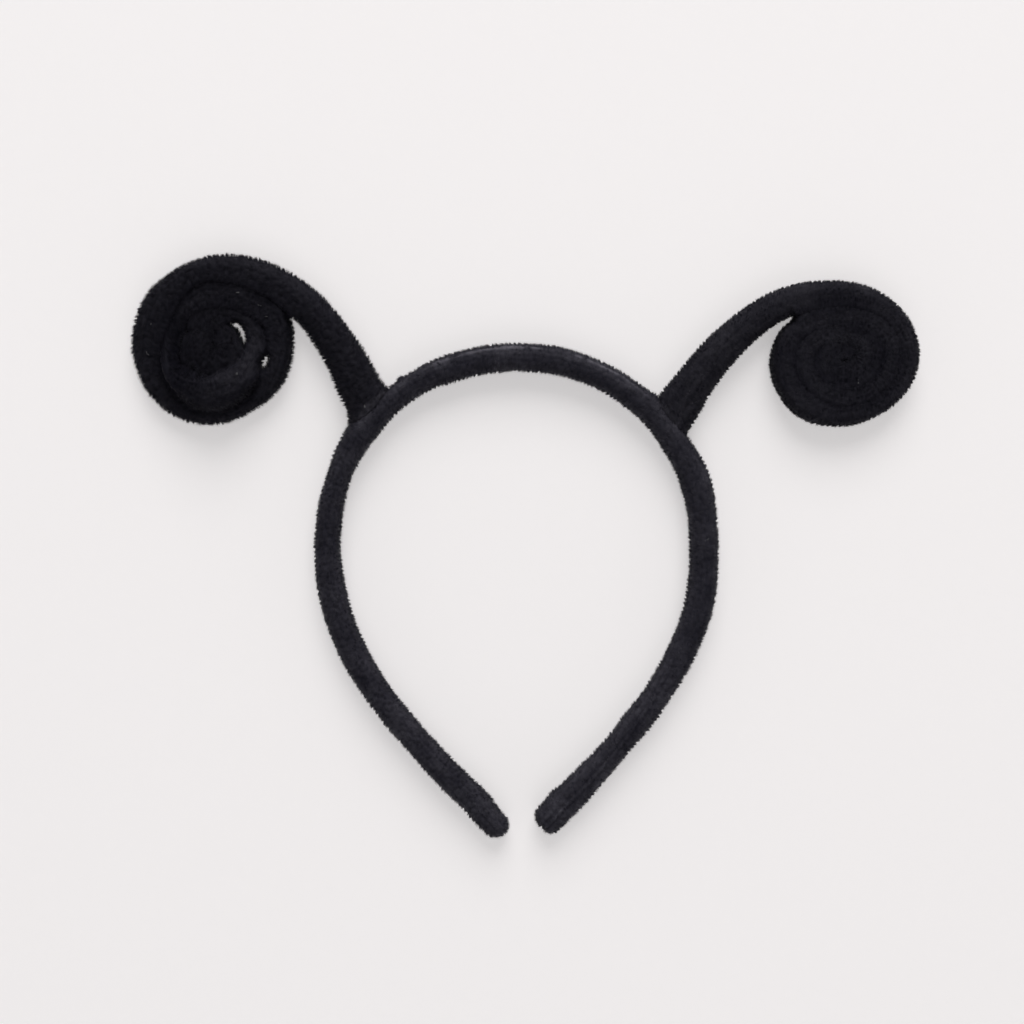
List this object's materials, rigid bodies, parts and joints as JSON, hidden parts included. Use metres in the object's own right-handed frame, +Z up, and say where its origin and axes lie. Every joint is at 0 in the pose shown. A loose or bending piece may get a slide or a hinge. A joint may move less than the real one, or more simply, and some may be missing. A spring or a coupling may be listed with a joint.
{
  "type": "antenna headband",
  "caption": "Velour-covered headband hoop, open between its tips, with a stuffed stalk on each side rolled into an outward coil, worn over the head as costume antennae.",
  "frame": {"origin": "on the floor, under the middle of the part's outline as it lies on its side", "axes": "+Z up from the floor, +Y from the hoop's tips toward its crown, +X toward the tightly coiled antenna"},
  "size_m": [0.2352, 0.1776, 0.0154],
  "materials": {
    "black_velour": "short-pile black velour, matte, with a soft grey sheen at grazing angles"
  },
  "bodies": {
    "root": {"headband": "black_velour", "antenna_left": "black_velour", "antenna_right": "black_velour"}
  },
  "joints": []
}
